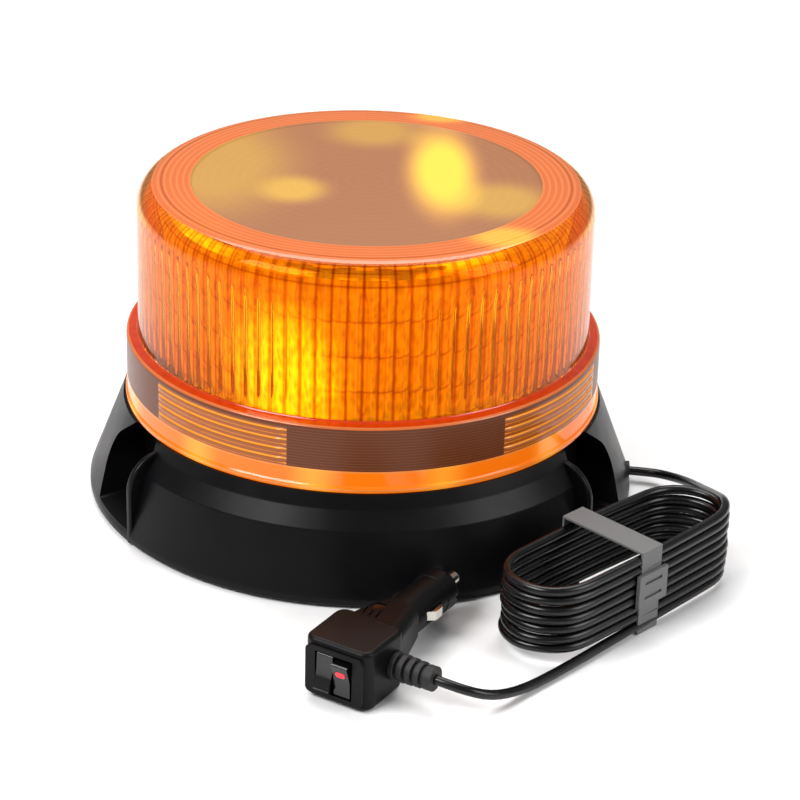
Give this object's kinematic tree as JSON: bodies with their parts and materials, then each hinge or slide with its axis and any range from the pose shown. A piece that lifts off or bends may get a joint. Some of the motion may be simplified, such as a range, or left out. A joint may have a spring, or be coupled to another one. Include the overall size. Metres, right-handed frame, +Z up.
{
  "type": "led safety flare",
  "caption": "Amber warning beacon with a fluted lens and ridged flange on a black magnetic base with finger pockets, and a tied lead to an accessory plug with rocker switches.",
  "frame": {"origin": "on the floor, under the middle of the round base", "axes": "+Z up along the lens axis; -Y is the front, where the plug lies; the lead leaves the base along +X"},
  "size_m": [0.1935, 0.2256, 0.0995],
  "materials": {
    "amber_lens": "clear amber polycarbonate, polished, with moulded flutes",
    "amber_optic": "clear amber polycarbonate with moulded prisms",
    "amber_silicone": "translucent amber silicone",
    "black_abs": "moulded black ABS, satin",
    "black_rubber": "moulded black rubber, matt",
    "lead_pvc": "extruded black PVC, semi-gloss",
    "white_nylon": "moulded white nylon",
    "circuit_board": "glass-epoxy board with green solder resist",
    "white_board": "board with white solder resist",
    "led_phosphor": "diode package with yellow phosphor",
    "component": "black epoxy and sleeve",
    "terminal_green": "moulded green polyamide",
    "ferrite": "sintered ferrite, matt",
    "zinc_steel": "zinc-plated steel",
    "strap_grey": "grey flat tie, satin",
    "plug_black": "moulded black nylon, fine texture",
    "nickel": "nickel plate on brass",
    "spring_steel": "bright spring wire",
    "fuse_glass": "clear glass tube with nickel caps",
    "red_light": "clear red polycarbonate, lit",
    "smoked_window": "smoked polycarbonate"
  },
  "bodies": {
    "flare": {"lens": "amber_lens", "prism_ring": "amber_optic", "lens_seal": "amber_silicone", "led_tower": "white_nylon", "led_boards": "white_board", "wall_leds": "led_phosphor", "cap_board": "white_board", "cap_leds": "led_phosphor", "tower_screws": "zinc_steel", "base_skirt": "black_abs", "base_housing": "black_abs", "driver_board": "circuit_board", "driver_capacitor": "component", "driver_choke": "ferrite", "driver_chips": "component", "wire_terminal": "terminal_green", "board_screws": "zinc_steel", "bottom_plate": "zinc_steel", "plate_screws": "zinc_steel", "magnet_cups": "zinc_steel", "magnets": "ferrite", "magnet_pads": "black_rubber", "magnet_screws": "zinc_steel", "cable_grommet": "black_rubber", "cable_clamp": "black_abs", "lead_inside": "lead_pvc", "lead_base_run": "lead_pvc", "lead_hank": "lead_pvc", "lead_plug_run": "lead_pvc", "hank_strap": "strap_grey", "strap_buckle": "strap_grey", "plug_upper_shell": "plug_black", "plug_lower_shell": "plug_black", "plug_nose_cap": "plug_black", "tip_spring": "spring_steel", "plug_fuse": "fuse_glass", "switch_plate": "plug_black", "rocker_pin": "zinc_steel", "switch_board": "circuit_board", "indicator_window": "smoked_window", "plug_screws": "zinc_steel", "plug_boot": "black_rubber"},
    "tip": {"plug_tip": "nickel"},
    "contact_left": {"side_contact_left": "nickel"},
    "contact_right": {"side_contact_right": "nickel"},
    "rocker_left": {"rocker_left": "plug_black"},
    "rocker_right": {"rocker_right": "plug_black", "rocker_light": "red_light"}
  },
  "joints": [
    {"name": "tip_press", "type": "slide", "parent": "flare", "child": "tip", "axis": [-0.5299, -0.848, 0], "range_m": [0, 0.003], "stiffness_N_per_m": 600, "springref_m": -0.002, "deforming": ["tip_spring"]},
    {"name": "contact_left_press", "type": "slide", "parent": "flare", "child": "contact_left", "axis": [0.848, -0.5299, 0], "range_m": [0, 0.0012], "stiffness_N_per_m": 500, "springref_m": -0.001},
    {"name": "contact_right_press", "type": "slide", "parent": "flare", "child": "contact_right", "axis": [-0.848, 0.5299, 0], "range_m": [0, 0.0012], "stiffness_N_per_m": 500, "springref_m": -0.001},
    {"name": "rocker_left_rock", "type": "hinge", "parent": "flare", "child": "rocker_left", "pos_m": [-0.00502, -0.13424, 0.009], "axis": [-0.848, 0.5299, 0], "range_deg": [-22, 0]},
    {"name": "rocker_right_rock", "type": "hinge", "parent": "flare", "child": "rocker_right", "pos_m": [-0.00502, -0.13424, 0.009], "axis": [-0.848, 0.5299, 0], "range_deg": [0, 22]}
  ]
}
